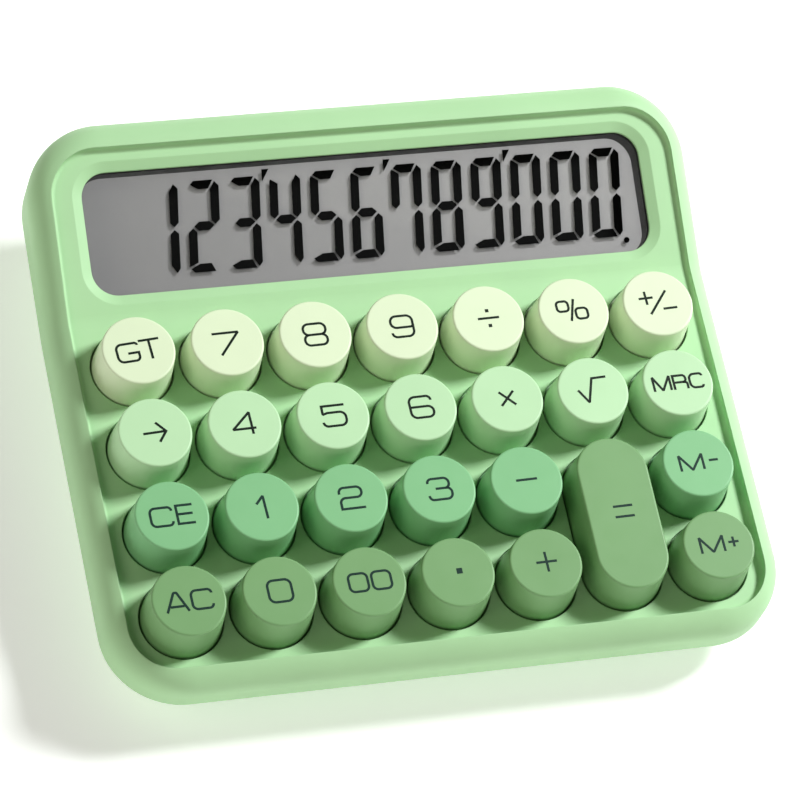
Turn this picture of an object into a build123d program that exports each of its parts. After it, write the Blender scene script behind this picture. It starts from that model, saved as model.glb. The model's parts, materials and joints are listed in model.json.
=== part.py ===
from build123d import *
import os
from math import atan2, cos, degrees, radians, sin, tan

# A desktop calculator with tall round keys and a display section that is tilted towards the user.
#
# Millimetres and degrees. The model is drawn in the deck frame: the origin is the centre of the key
# field on the plane of the key tops, +X to the right, +Y to the back, +Z out of the keys. At the end
# every piece is turned by WEDGE about X, so that the base is level, and moved so that the origin is
# the middle of the bottom.

# ---- driving dimensions ------------------------------------------------------------------------
KEY_PITCH = 19.05
COLUMNS = 7
ROWS = 4
KEY_TRAVEL = 2.8

WEDGE = 4.0                 # the key tops lean towards the user by this much
DISPLAY_TILT = 15.0         # the display section, measured from the key tops
FLOOR_TILT = 0.8            # the key field gets a little deeper towards the front
PARTING_TILT = 8.4          # the line between the two cases rises behind the fold
FOLD_Y = 40.0               # where the key field meets the display section
FOLD_RADIUS = 10.0

HALF_WIDTH = 73.3
FRONT_Y = -44.3
BACK_Y = 83.2
CORNER = 16.5
RIM_ROUND = 6.5
WELL_HALF_WIDTH = 69.05
WELL_FRONT_Y = -40.1
WELL_BACK_Y = 75.4
WELL_CORNER = 10.0
WELL_FILLET = 0.9

# heights below the key tops, those of the folded surfaces taken at the fold
RIM_TOP = -6.8
FLOOR = -8.55
CEILING = -11.3
PARTING = -17.3
BASE_FRONT = -27.0          # where the base would meet the front of the outline
GUIDE_TOP = -15.2
GUIDE_THICKNESS = 1.2
STEM_END = -17.0
PRESSED_GAP = 0.8           # left between a pressed stem and the mat
MAT_TOP = STEM_END - KEY_TRAVEL - PRESSED_GAP
MAT_THICKNESS = 0.6
MAT_MARGIN = 1.4            # the mat ends this far inside the edge of the key board
BOARD_THICKNESS = 1.6
BOARD_HALF_WIDTH = 66.5
BOARD_FRONT_Y = -37.8
BOARD_BACK_Y = 38.0
BOARD_CORNER = 10.0
GUIDE_HALF_WIDTH = 68.0
GUIDE_FRONT_Y = -40.2
GUIDE_BACK_Y = 38.2
GUIDE_CORNER = 11.0

DOME_FOOT_RADIUS = 3.9
DOME_CROWN_RADIUS = 2.7
DOME_GAP = 0.05             # between a stem at rest and its dome
CROWN_THICKNESS = 1.3
HOLLOW_FOOT_RADIUS = 3.5
HOLLOW_CROWN_RADIUS = 2.1

CASE_WALL = 2.2
BOTTOM_INSET = 0.6
BOTTOM_WALL = 2.7
BOTTOM_DRAFT = 26.0
BASE_THICKNESS = 2.0
LIP_HEIGHT = 1.8
FIT = 0.15

KEY_TOP_RADIUS = 7.76
KEY_FOOT_RADIUS = 8.5
KEY_TAPER_HEIGHT = 9.0      # the key widens down to here and is straight below
KEY_EDGE = 0.45
KEY_HOLE_RADIUS = 8.95
KEY_WALL = 1.3
KEY_ROOF = 1.7
FLANGE_RADIUS = 9.3
FLANGE_THICKNESS = 0.8
FLANGE_GAP = 0.1
STEM_SIDE = 4.4
STEM_CORNER = 0.5
STEM_CLEARANCE = 0.06

WINDOW_WIDTH = 124.4
WINDOW_DEPTH = 26.7
WINDOW_CENTRE = 18.8        # along the display slope, from the fold
WINDOW_CORNER = 5.6
BEZEL_WIDTH = 2.2
BEZEL_DROP = 1.0
LENS_THICKNESS = 1.2
LCD_DEPTH = 6.5             # the liquid-crystal cell, below the display surface
LENS_RIM = 2.0              # the lens reaches this far under the edge of the window
GLASS_MARGIN = 1.0          # and the liquid-crystal cell this far
GLASS_LEDGE = 3.6           # at the back edge the cell has room for its contacts
GLASS_THICKNESS = 2.2
FRAME_WALL = 0.9
REFLECTOR_THICKNESS = 0.3
PAD_THICKNESS = 1.2
DISPLAY_BOARD_HALF_WIDTH = 68.3
DISPLAY_BOARD_START = 3.5
DISPLAY_BOARD_END = 34.5
DISPLAY_BOARD_CORNER = 10.0

BOSS_RADIUS = 2.4
DISPLAY_BOSS_RADIUS = 2.0
POST_CLEARANCE = 0.6        # round a screw post that passes through a plate
SCREW_RADIUS = 1.0
SCREW_HOLE_RADIUS = 1.15
PILOT_RADIUS = 0.95
SCREW_HEAD_RADIUS = 1.9
SCREW_HEAD_HEIGHT = 1.2
COUNTERBORE_RADIUS = 2.4
COUNTERBORE_ROOF = 1.6
CASE_BOSS_RADIUS = 4.0
CASE_SCREW_SEAT = -25.0
CASE_SCREW_LENGTH = 12.5
BOARD_SCREW_GRIP = 2.6      # how far a screw goes into the top case
DISPLAY_SCREW_LENGTH = 6.0

CELL_RADIUS = 5.15          # AAA battery
CELL_LENGTH = 42.5
NUB_RADIUS = 1.9
NUB_LENGTH = 1.0
CELL_HEIGHT = 7.0           # its axis above the base
FRONT_CELL = 95.6           # distance from the base's front to each cell's axis
BACK_CELL = 106.8
BAY_HALF_WIDTH = 24.8
BAY_FRONT = 90.0
BAY_BACK = 112.4
BAY_TOP = 12.3
BAY_WALL = 1.0
SPRING_COILS = 3
SPRING_RADIUS = 3.4
SPRING_WIRE = 0.35
CONTACT_THICKNESS = 0.4

DOOR_HALF_WIDTH = 27.0
DOOR_FRONT = 86.0
DOOR_BACK = 114.0
DOOR_THICKNESS = 1.6
DOOR_RAIL = 1.0             # how far the rails along its sides stand out
RAIL_THICKNESS = 0.8
RAIL_SLOT = 1.2
DOOR_GAP = 0.2
RIDGES = 5                  # finger grip at the back of the door
RIDGE_PITCH = 2.0
GROOVE_WIDTH = 0.8
GROOVE_DEPTH = 0.4
GROOVE_HALF_LENGTH = 9.0

CHIP_RADIUS = 6.5
CHIP_HEIGHT = 1.4
RIBBON_WIDTH = 16.0
RIBBON_THICKNESS = 0.3
RIBBON_START_Y = 34.0
RIBBON_TURN_Y = 41.0        # where it climbs behind the edge of the key board
RIBBON_LANDING = 8.0        # how far it reaches under the display board
RIBBON_BEND = 0.8
LEAD_RADIUS = 0.6
LEAD_END_Y = 28.0           # both leads meet the key board here
LEAD_BEND = 1.2

FOOT_RADIUS = 5.0
FOOT_HEIGHT = 1.2
FOOT_RECESS = 0.6

REACH = 150.0               # longer than the object, for solids that only cut

# depths below the display surface
LENS_TOP = BEZEL_DROP + 0.5
DISPLAY_BOARD_TOP = LCD_DEPTH + GLASS_THICKNESS + REFLECTOR_THICKNESS + PAD_THICKNESS

# heights in the keyboard, which is stacked up under the key field
BOARD_UNDERSIDE = MAT_TOP - MAT_THICKNESS - BOARD_THICKNESS

# ---- frames ------------------------------------------------------------------------------------
DISPLAY = Plane(
    origin=(0, FOLD_Y, FLOOR),
    x_dir=(1, 0, 0),
    z_dir=(0, -sin(radians(DISPLAY_TILT)), cos(radians(DISPLAY_TILT))),
)
BASE = Plane(
    origin=(0, FRONT_Y, BASE_FRONT),
    x_dir=(1, 0, 0),
    z_dir=(0, sin(radians(WEDGE)), cos(radians(WEDGE))),
)
PARTING_BACK = Plane(
    origin=(0, FOLD_Y, PARTING),
    x_dir=(1, 0, 0),
    z_dir=(0, -sin(radians(PARTING_TILT)), cos(radians(PARTING_TILT))),
)


def key_centre(column, row):
    """Centre of a key on the deck; column 0 is the left one and row 0 the back one."""
    return ((column - (COLUMNS - 1) / 2) * KEY_PITCH, ((ROWS - 1) / 2 - row) * KEY_PITCH)


def gap_centre(column, row):
    """The free spot between four keys, to the right of a column and in front of a row."""
    return key_centre(column + 0.5, row + 0.5)


ROUND_KEYS = {
    "key_gt": (0, 0), "key_7": (1, 0), "key_8": (2, 0), "key_9": (3, 0),
    "key_divide": (4, 0), "key_percent": (5, 0), "key_sign": (6, 0),
    "key_shift": (0, 1), "key_4": (1, 1), "key_5": (2, 1), "key_6": (3, 1),
    "key_multiply": (4, 1), "key_root": (5, 1), "key_mrc": (6, 1),
    "key_ce": (0, 2), "key_1": (1, 2), "key_2": (2, 2), "key_3": (3, 2),
    "key_minus": (4, 2), "key_m_minus": (6, 2),
    "key_ac": (0, 3), "key_0": (1, 3), "key_00": (2, 3), "key_point": (3, 3),
    "key_plus": (4, 3), "key_m_plus": (6, 3),
}
TALL_KEY = (5, 2.5)         # covers the fifth column of the two front rows
STEMS = [key_centre(column, row) for column in range(COLUMNS) for row in range(ROWS)]
BOARD_SCREWS = [gap_centre(*spot) for spot in [(0, 0), (2, 0), (3, 0), (5, 0), (0, 2), (2, 2), (3, 2)]]
FRONT_CASE_SCREWS = [gap_centre(0, 1), gap_centre(5, 1)]
BACK_CASE_SCREWS = [(-55.0, 40.8), (55.0, 40.8)]
CASE_SCREWS = FRONT_CASE_SCREWS + BACK_CASE_SCREWS
DISPLAY_SCREWS = [(-66.4, 17.0), (66.4, 17.0), (-66.4, 28.0), (66.4, 28.0)]  # on the display slope
FEET = [(-52.0, 14.0), (52.0, 14.0), (-48.0, 106.0), (48.0, 106.0)]   # on the base, from its front

# ---- shared shapes -----------------------------------------------------------------------------
def rounded_rectangle(x_min, x_max, y_min, y_max, radius):
    """A sketch of a rectangle with round corners, given by its sides."""
    centre = Pos((x_min + x_max) / 2, (y_min + y_max) / 2)
    return centre * RectangleRounded(x_max - x_min, y_max - y_min, radius)


def outline(inset):
    """The calculator seen from above, drawn in by an inset all round."""
    half = HALF_WIDTH - inset
    return rounded_rectangle(-half, half, FRONT_Y + inset, BACK_Y - inset, CORNER - inset)


def column_of(sketch, bottom=-60.0, top=30.0):
    """A sketch on the deck, drawn out along Z between two heights."""
    return extrude(Pos(0, 0, bottom) * sketch, amount=top - bottom)


def below(height, front_tilt=0.0, back_tilt=DISPLAY_TILT):
    """Everything under a surface that is folded along X at FOLD_Y, with the fold rounded."""
    front = height - REACH * tan(radians(front_tilt))
    back = height + REACH * tan(radians(back_tilt))
    corners = [
        (FOLD_Y - REACH, -REACH),
        (FOLD_Y - REACH, front),
        (FOLD_Y, height),
        (FOLD_Y + REACH, back),
        (FOLD_Y + REACH, -REACH),
    ]
    profile = make_face(Polyline(*corners, close=True))
    fold = profile.vertices().sort_by_distance((FOLD_Y, height))[0]
    profile = fillet(fold, FOLD_RADIUS)
    return extrude(Plane.YZ * profile, amount=REACH, both=True)


def under_base(raised=0.0):
    """Everything lower than the base, or than a plane some way above it."""
    sheet = Pos(0, 0, raised) * Rectangle(2 * REACH, 4 * REACH)
    return extrude(BASE * sheet, amount=-REACH)


def rod(x, y, bottom, top, radius):
    """An upright round rod on the deck."""
    return extrude(Pos(x, y, bottom) * Circle(radius), amount=top - bottom)


def frustum(x, y, bottom, top, bottom_radius, top_radius):
    """An upright cone with its tip cut off."""
    height = top - bottom
    return Pos(x, y, bottom + height / 2) * Cone(bottom_radius, top_radius, height)


def hull(inset):
    """The tapering lower half of the case: one block in front of the fold and one behind it."""
    depth = 30.0
    front_half = Pos(0, FOLD_Y - REACH) * Rectangle(2 * REACH, 2 * REACH)
    front = extrude(Pos(0, 0, PARTING) * outline(inset), amount=-depth, taper=BOTTOM_DRAFT)
    front = front & column_of(front_half, PARTING - depth, 0)

    slope_length = (BACK_Y - inset - FOLD_Y) / cos(radians(PARTING_TILT))
    half = HALF_WIDTH - inset
    back_outline = rounded_rectangle(
        -half, half, FRONT_Y + inset - FOLD_Y, slope_length, CORNER - inset
    )
    back = extrude(PARTING_BACK * back_outline, amount=-depth, taper=BOTTOM_DRAFT)
    back = back - column_of(front_half)
    return (front + back).clean()


# ---- the case ----------------------------------------------------------------------------------
def surface_height(y, height, front_tilt=0.0, back_tilt=DISPLAY_TILT):
    """Height of a folded surface at a place, ignoring the rounding of its fold."""
    tilt = front_tilt if y < FOLD_Y else back_tilt
    return height + (y - FOLD_Y) * tan(radians(tilt))


def edges_on_surface(solid, height, front_tilt=0.0):
    """The edges of a solid whose middles lie on a folded surface."""
    found = []
    for edge in solid.edges():
        middle = edge.position_at(0.5)
        if abs(middle.Z - surface_height(middle.Y, height, front_tilt)) < 0.5:
            found.append(edge)
    return found


def make_shell():
    """The top case with its rounded rim and its well, before anything is cut through it."""
    outer = column_of(outline(0)) & below(RIM_TOP)
    outer = outer - below(PARTING, back_tilt=PARTING_TILT)
    outer = fillet(edges_on_surface(outer, RIM_TOP), RIM_ROUND)

    well = rounded_rectangle(
        -WELL_HALF_WIDTH, WELL_HALF_WIDTH, WELL_FRONT_Y, WELL_BACK_Y, WELL_CORNER
    )
    well = column_of(well) - below(FLOOR, front_tilt=FLOOR_TILT)
    well = fillet(edges_on_surface(well, FLOOR, FLOOR_TILT), WELL_FILLET)
    cavity = column_of(outline(CASE_WALL)) & below(CEILING)
    return outer - well - cavity


def window(depth_above, depth_below, spread=0.0):
    """A block on the display slope in the shape of the window, or wider by a spread all round."""
    sketch = RectangleRounded(
        WINDOW_WIDTH + 2 * spread, WINDOW_DEPTH + 2 * spread, WINDOW_CORNER + spread
    )
    return extrude(DISPLAY * Pos(0, WINDOW_CENTRE, -depth_below) * sketch, amount=depth_below - depth_above)


def bezel():
    """The sloping border that leads down to the window."""
    wide = RectangleRounded(
        WINDOW_WIDTH + 2 * BEZEL_WIDTH, WINDOW_DEPTH + 2 * BEZEL_WIDTH, WINDOW_CORNER + BEZEL_WIDTH
    )
    narrow = RectangleRounded(WINDOW_WIDTH, WINDOW_DEPTH, WINDOW_CORNER)
    return loft([
        DISPLAY * Pos(0, WINDOW_CENTRE, 0) * wide,
        DISPLAY * Pos(0, WINDOW_CENTRE, -BEZEL_DROP) * narrow,
    ])


def slot(radius):
    """The outline of the tall key, centred on its place."""
    return Rot(0, 0, 90) * SlotCenterToCenter(KEY_PITCH, 2 * radius)


def make_top_case():
    case = make_shell()
    holes = [Pos(*key_centre(*spot)) * Circle(KEY_HOLE_RADIUS) for spot in ROUND_KEYS.values()]
    holes.append(Pos(*key_centre(*TALL_KEY)) * slot(KEY_HOLE_RADIUS))
    for hole in holes:
        case = case - column_of(hole, CEILING - 1, FLOOR + 1)

    case = case - bezel() - window(0, LENS_TOP + 0.5) - window(LENS_TOP, LENS_TOP + 6, LENS_RIM + FIT)
    for x, y in BOARD_SCREWS:
        case = case + rod(x, y, GUIDE_TOP, CEILING + 0.5, BOSS_RADIUS)
        case = case - rod(x, y, GUIDE_TOP - 1, CEILING, PILOT_RADIUS)
    for x, y in CASE_SCREWS:
        ceiling = surface_height(y, CEILING)
        case = case + rod(x, y, PARTING, ceiling + 0.5, BOSS_RADIUS)
        case = case - rod(x, y, PARTING - 1, ceiling - 0.3, PILOT_RADIUS)
    for x, along in DISPLAY_SCREWS:
        post = DISPLAY * Pos(x, along, -DISPLAY_BOARD_TOP)
        length = DISPLAY_BOARD_TOP - 2.2
        case = case + extrude(post * Circle(DISPLAY_BOSS_RADIUS), amount=length)
        case = case - extrude(post * Circle(PILOT_RADIUS), amount=length - 0.6)
    return case


def on_base(x_min, x_max, y_min, y_max, low, high):
    """A box that stands on the base, given from the base's front edge."""
    sketch = Pos((x_min + x_max) / 2, (y_min + y_max) / 2, low) * Rectangle(x_max - x_min, y_max - y_min)
    return extrude(BASE * sketch, amount=high - low)


def battery_bay():
    """Walls and roof round the two cells."""
    bay = on_base(
        -BAY_HALF_WIDTH - BAY_WALL, BAY_HALF_WIDTH + BAY_WALL,
        BAY_FRONT - BAY_WALL, BAY_BACK + BAY_WALL, 0, BAY_TOP + BAY_WALL,
    )
    door_seat = on_base(
        -DOOR_HALF_WIDTH - 3, DOOR_HALF_WIDTH + 3, DOOR_FRONT - 3, DOOR_BACK + 6, 0, DOOR_THICKNESS + 2.4
    )
    return bay + door_seat


def make_bottom_case():
    shell = hull(BOTTOM_INSET) - under_base()
    hollow = hull(BOTTOM_INSET + BOTTOM_WALL) - under_base(BASE_THICKNESS)
    case = shell - hollow + (battery_bay() & shell)

    for x, y in CASE_SCREWS:
        case = case + (rod(x, y, -REACH, CASE_SCREW_SEAT + COUNTERBORE_ROOF, CASE_BOSS_RADIUS) & shell)
        case = case + rod(x, y, CASE_SCREW_SEAT, PARTING, BOSS_RADIUS)
        case = case - rod(x, y, -REACH, CASE_SCREW_SEAT, COUNTERBORE_RADIUS)
        case = case - rod(x, y, -REACH, PARTING + 1, SCREW_HOLE_RADIUS)

    lip = column_of(outline(CASE_WALL + FIT)) - column_of(outline(BOTTOM_INSET + BOTTOM_WALL))
    lip = lip & below(PARTING + LIP_HEIGHT, back_tilt=PARTING_TILT)
    lip = lip - below(PARTING - 0.01, back_tilt=PARTING_TILT)
    case = case + lip

    case = case - on_base(
        -BAY_HALF_WIDTH, BAY_HALF_WIDTH, BAY_FRONT, BAY_BACK, -1, BAY_TOP
    )
    case = case - on_base(
        -DOOR_HALF_WIDTH, DOOR_HALF_WIDTH, DOOR_FRONT, REACH, -1, DOOR_THICKNESS + DOOR_GAP
    )
    case = case - on_base(
        -DOOR_HALF_WIDTH - DOOR_RAIL, DOOR_HALF_WIDTH + DOOR_RAIL, DOOR_FRONT, REACH,
        DOOR_THICKNESS, DOOR_THICKNESS + RAIL_SLOT,
    )
    for x, y in FEET:
        case = case - extrude(BASE * Pos(x, y) * Circle(FOOT_RADIUS + 0.1), amount=FOOT_RECESS)
    return case


def make_battery_door():
    width = DOOR_HALF_WIDTH - DOOR_GAP
    door = on_base(-width, width, DOOR_FRONT + DOOR_GAP, REACH, 0, DOOR_THICKNESS) & hull(BOTTOM_INSET)
    for side in (-1, 1):
        edges = sorted((side * (width - 1), side * (width + DOOR_RAIL)))
        rail_top = DOOR_THICKNESS + RAIL_THICKNESS
        door = door + on_base(*edges, DOOR_FRONT + 2, DOOR_BACK - 2, DOOR_THICKNESS, rail_top)
    for ridge in range(RIDGES):
        end = DOOR_BACK - 3 - RIDGE_PITCH * ridge
        door = door - on_base(
            -GROOVE_HALF_LENGTH, GROOVE_HALF_LENGTH, end - GROOVE_WIDTH, end, -1, GROOVE_DEPTH
        )
    return door


def make_rubber_feet():
    feet = []
    for x, y in FEET:
        disc = BASE * Pos(x, y, FOOT_RECESS) * Circle(FOOT_RADIUS)
        foot = extrude(disc, amount=-FOOT_HEIGHT - FOOT_RECESS)
        lower_edge = foot.edges().sort_by(Axis.Z)[0]
        feet.append(fillet(lower_edge, 0.4))
    return feet


# ---- screws ------------------------------------------------------------------------------------
def screw(length):
    """A pan-head screw that points up, with the top of its head's underside at the origin."""
    head = Pos(0, 0, -SCREW_HEAD_HEIGHT / 2) * Cylinder(SCREW_HEAD_RADIUS, SCREW_HEAD_HEIGHT)
    head = fillet(head.edges().sort_by(Axis.Z)[0], 0.5)
    recess = Pos(0, 0, -SCREW_HEAD_HEIGHT) * (Box(1.9, 0.45, 1.2) + Box(0.45, 1.9, 1.2))
    shank = Pos(0, 0, length / 2) * Cylinder(SCREW_RADIUS, length)
    tip = shank.edges().sort_by(Axis.Z)[-1]
    return head + chamfer(tip, 0.4) - recess


def make_board_screws():
    length = GUIDE_TOP - BOARD_UNDERSIDE + BOARD_SCREW_GRIP
    return [Pos(x, y, BOARD_UNDERSIDE) * screw(length) for x, y in BOARD_SCREWS]


def make_case_screws():
    return [Pos(x, y, CASE_SCREW_SEAT) * screw(CASE_SCREW_LENGTH) for x, y in CASE_SCREWS]


def make_display_screws():
    seat = -DISPLAY_BOARD_TOP - BOARD_THICKNESS
    return [DISPLAY * Pos(x, along, seat) * screw(DISPLAY_SCREW_LENGTH) for x, along in DISPLAY_SCREWS]


# ---- the display -------------------------------------------------------------------------------
def make_display_lens():
    return window(LENS_TOP, LENS_TOP + LENS_THICKNESS, LENS_RIM)


def make_display_frame():
    top = LENS_TOP + LENS_THICKNESS
    outer_spread = GLASS_MARGIN + FIT + FRAME_WALL
    frame = window(top, LCD_DEPTH, outer_spread) - window(top - 1, LCD_DEPTH + 1)
    skirt = glass_block(LCD_DEPTH, LCD_DEPTH + GLASS_THICKNESS, FIT + FRAME_WALL)
    skirt = skirt - glass_block(LCD_DEPTH - 1, LCD_DEPTH + GLASS_THICKNESS + 1, FIT)
    shoulder = glass_block(LCD_DEPTH - 1.2, LCD_DEPTH, FIT + FRAME_WALL) - window(top - 1, LCD_DEPTH + 1)
    return frame + shoulder + skirt


def glass_block(depth_above, depth_below, spread=0.0):
    """A block in the shape of the liquid-crystal cell, or wider by a spread all round."""
    x = WINDOW_WIDTH / 2 + GLASS_MARGIN + spread
    front = WINDOW_CENTRE - WINDOW_DEPTH / 2 - GLASS_MARGIN - spread
    back = WINDOW_CENTRE + WINDOW_DEPTH / 2 + GLASS_LEDGE + spread
    sketch = rounded_rectangle(-x, x, front, back, 1.0 + spread)
    return extrude(DISPLAY * Pos(0, 0, -depth_below) * sketch, amount=depth_below - depth_above)


def make_lcd_cell():
    return glass_block(LCD_DEPTH, LCD_DEPTH + GLASS_THICKNESS)


def make_lcd_reflector():
    top = LCD_DEPTH + GLASS_THICKNESS
    return window(top, top + REFLECTOR_THICKNESS, 0.8)


def make_foam_pad():
    top = LCD_DEPTH + GLASS_THICKNESS + REFLECTOR_THICKNESS
    return window(top, top + PAD_THICKNESS, -1.0)


def contact_strip_line():
    """Where the elastomer strip lies along the display slope."""
    return WINDOW_CENTRE + WINDOW_DEPTH / 2 + (GLASS_LEDGE + 0.8) / 2


def make_contact_strip():
    top = LCD_DEPTH + GLASS_THICKNESS
    sketch = Pos(0, contact_strip_line(), -DISPLAY_BOARD_TOP) * Rectangle(WINDOW_WIDTH - 10, 1.8)
    return extrude(DISPLAY * sketch, amount=DISPLAY_BOARD_TOP - top)


def make_display_board():
    half = DISPLAY_BOARD_HALF_WIDTH
    sketch = rounded_rectangle(
        -half, half, DISPLAY_BOARD_START, DISPLAY_BOARD_END, DISPLAY_BOARD_CORNER
    )
    for x, along in DISPLAY_SCREWS:
        sketch = sketch - Pos(x, along) * Circle(SCREW_HOLE_RADIUS)
    return extrude(DISPLAY * Pos(0, 0, -DISPLAY_BOARD_TOP) * sketch, amount=-BOARD_THICKNESS)


# ---- the keyboard ------------------------------------------------------------------------------
def make_key(shape, stems):
    """One key: a tapering cup with a flange under the case and a square stem at each place."""
    draft = degrees(atan2(KEY_FOOT_RADIUS - KEY_TOP_RADIUS, KEY_TAPER_HEIGHT))
    flange_top = CEILING - FLANGE_GAP
    flange_bottom = flange_top - FLANGE_THICKNESS

    cup = extrude(shape(KEY_TOP_RADIUS), amount=-KEY_TAPER_HEIGHT, taper=-draft)
    cup = fillet(cup.faces().sort_by(Axis.Z)[-1].edges(), KEY_EDGE)
    skirt = Pos(0, 0, -KEY_TAPER_HEIGHT) * shape(KEY_FOOT_RADIUS)
    cup = cup + extrude(skirt, amount=flange_bottom + KEY_TAPER_HEIGHT)
    flange = Pos(0, 0, flange_bottom) * shape(FLANGE_RADIUS)
    cup = cup + extrude(flange, amount=FLANGE_THICKNESS)

    hollow = Pos(0, 0, -KEY_ROOF) * shape(KEY_TOP_RADIUS - KEY_WALL)
    cup = cup - extrude(hollow, amount=flange_bottom + KEY_ROOF, taper=-draft)
    for x, y in stems:
        stem = Pos(x, y, STEM_END) * RectangleRounded(STEM_SIDE, STEM_SIDE, STEM_CORNER)
        cup = cup + extrude(stem, amount=-STEM_END - KEY_ROOF + 0.2)
    return cup


def make_key_guide():
    sketch = rounded_rectangle(
        -GUIDE_HALF_WIDTH, GUIDE_HALF_WIDTH, GUIDE_FRONT_Y, GUIDE_BACK_Y, GUIDE_CORNER
    )
    bore = STEM_SIDE + 2 * STEM_CLEARANCE
    for x, y in STEMS:
        sketch = sketch - Pos(x, y) * RectangleRounded(bore, bore, STEM_CORNER)
    for x, y in FRONT_CASE_SCREWS:
        sketch = sketch - Pos(x, y) * Circle(BOSS_RADIUS + POST_CLEARANCE)
    guide = extrude(Pos(0, 0, GUIDE_TOP) * sketch, amount=-GUIDE_THICKNESS)
    for x, y in BOARD_SCREWS:
        guide = guide + rod(x, y, MAT_TOP, GUIDE_TOP, BOSS_RADIUS)
        guide = guide - rod(x, y, MAT_TOP - 1, GUIDE_TOP + 1, SCREW_HOLE_RADIUS)
    return guide


def board_outline(margin):
    """The key board seen from above, with its screw holes, drawn in by a margin."""
    half = BOARD_HALF_WIDTH - margin
    sketch = rounded_rectangle(
        -half, half, BOARD_FRONT_Y + margin, BOARD_BACK_Y - margin, BOARD_CORNER
    )
    for x, y in BOARD_SCREWS:
        sketch = sketch - Pos(x, y) * Circle(SCREW_HOLE_RADIUS)
    for x, y in FRONT_CASE_SCREWS:
        sketch = sketch - Pos(x, y) * Circle(BOSS_RADIUS + POST_CLEARANCE)
    return sketch


def make_dome_mat():
    mat = extrude(Pos(0, 0, MAT_TOP) * board_outline(MAT_MARGIN), amount=-MAT_THICKNESS)
    crown = STEM_END - DOME_GAP
    under_mat = MAT_TOP - MAT_THICKNESS
    for x, y in STEMS:
        mat = mat + frustum(x, y, MAT_TOP, crown, DOME_FOOT_RADIUS, DOME_CROWN_RADIUS)
    for x, y in STEMS:
        mat = mat - frustum(
            x, y, under_mat, crown - CROWN_THICKNESS, HOLLOW_FOOT_RADIUS, HOLLOW_CROWN_RADIUS
        )
    return mat


def make_key_board():
    return extrude(Pos(0, 0, MAT_TOP - MAT_THICKNESS) * board_outline(0), amount=-BOARD_THICKNESS)


def make_controller_chip():
    chip = Pos(0, KEY_PITCH / 2, BOARD_UNDERSIDE - CHIP_HEIGHT / 2) * Cylinder(CHIP_RADIUS, CHIP_HEIGHT)
    return fillet(chip.edges().sort_by(Axis.Z)[0], 1.2)


def make_ribbon_cable():
    """A flat cable from under the key board, up behind its edge, to under the display board."""
    key_side = BOARD_UNDERSIDE - RIBBON_THICKNESS / 2
    display_side = -DISPLAY_BOARD_TOP - BOARD_THICKNESS - RIBBON_THICKNESS / 2
    landing = DISPLAY.from_local_coords((0, DISPLAY_BOARD_START + RIBBON_LANDING, display_side))
    turn_z = landing.Z - (landing.Y - RIBBON_TURN_Y) * tan(radians(DISPLAY_TILT))
    path = FilletPolyline(
        (0, RIBBON_START_Y, key_side),
        (0, RIBBON_TURN_Y, key_side),
        (0, RIBBON_TURN_Y, turn_z),
        (0, landing.Y, landing.Z),
        radius=RIBBON_BEND,
    )
    start = Plane(origin=path @ 0, z_dir=path % 0)
    return sweep(start * Rectangle(RIBBON_THICKNESS, RIBBON_WIDTH), path=path)


# ---- power -------------------------------------------------------------------------------------
def make_battery(distance, direction):
    """One AAA cell on the base, with its nub to the right (direction 1) or to the left (-1)."""
    body = fillet(Cylinder(CELL_RADIUS, CELL_LENGTH).edges(), 0.4)
    nub = Pos(0, 0, (CELL_LENGTH + NUB_LENGTH) / 2) * Cylinder(NUB_RADIUS, NUB_LENGTH)
    shift = direction * (BAY_HALF_WIDTH - CONTACT_THICKNESS - NUB_LENGTH - CELL_LENGTH / 2)
    return BASE * Pos(shift, distance, CELL_HEIGHT) * Rot(0, 90 * direction, 0) * (body + nub)


def contact_plate(distance, side):
    """A square plate on the wall of the bay, at the right (side 1) or the left (-1)."""
    x = side * (BAY_HALF_WIDTH - CONTACT_THICKNESS / 2)
    return BASE * Pos(x, distance, CELL_HEIGHT) * Box(CONTACT_THICKNESS, 8.4, 8.4)


def make_battery_plates():
    return [contact_plate(FRONT_CELL, 1), contact_plate(BACK_CELL, -1)]


def make_battery_springs():
    """A plate with a coil that presses on the flat end of each cell."""
    springs = []
    for distance, side in [(FRONT_CELL, -1), (BACK_CELL, 1)]:
        length = 2 * (BAY_HALF_WIDTH - CONTACT_THICKNESS) - CELL_LENGTH - NUB_LENGTH
        coil_path = Helix(pitch=length / SPRING_COILS, height=length - SPRING_WIRE, radius=SPRING_RADIUS)
        start = Plane(origin=coil_path @ 0, z_dir=coil_path % 0)
        coil = sweep(start * Circle(SPRING_WIRE), path=coil_path)
        root = side * (BAY_HALF_WIDTH - CONTACT_THICKNESS)
        coil = BASE * Pos(root, distance, CELL_HEIGHT) * Rot(0, -90 * side, 0) * coil
        springs.append(contact_plate(distance, side) + coil)
    return springs


def make_battery_lead(bend_x, distance):
    """A wire from the left wall of the battery bay to the underside of the key board."""
    wall = BASE.from_local_coords((-BAY_HALF_WIDTH - BAY_WALL, distance, CELL_HEIGHT))
    path = FilletPolyline(
        (wall.X, wall.Y, wall.Z),
        (bend_x, wall.Y, wall.Z),
        (bend_x, LEAD_END_Y, BOARD_UNDERSIDE - 2 * LEAD_BEND),
        (bend_x, LEAD_END_Y, BOARD_UNDERSIDE),
        radius=LEAD_BEND,
    )
    start = Plane(origin=path @ 0, z_dir=path % 0)
    return sweep(start * Circle(LEAD_RADIUS), path=path)


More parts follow.
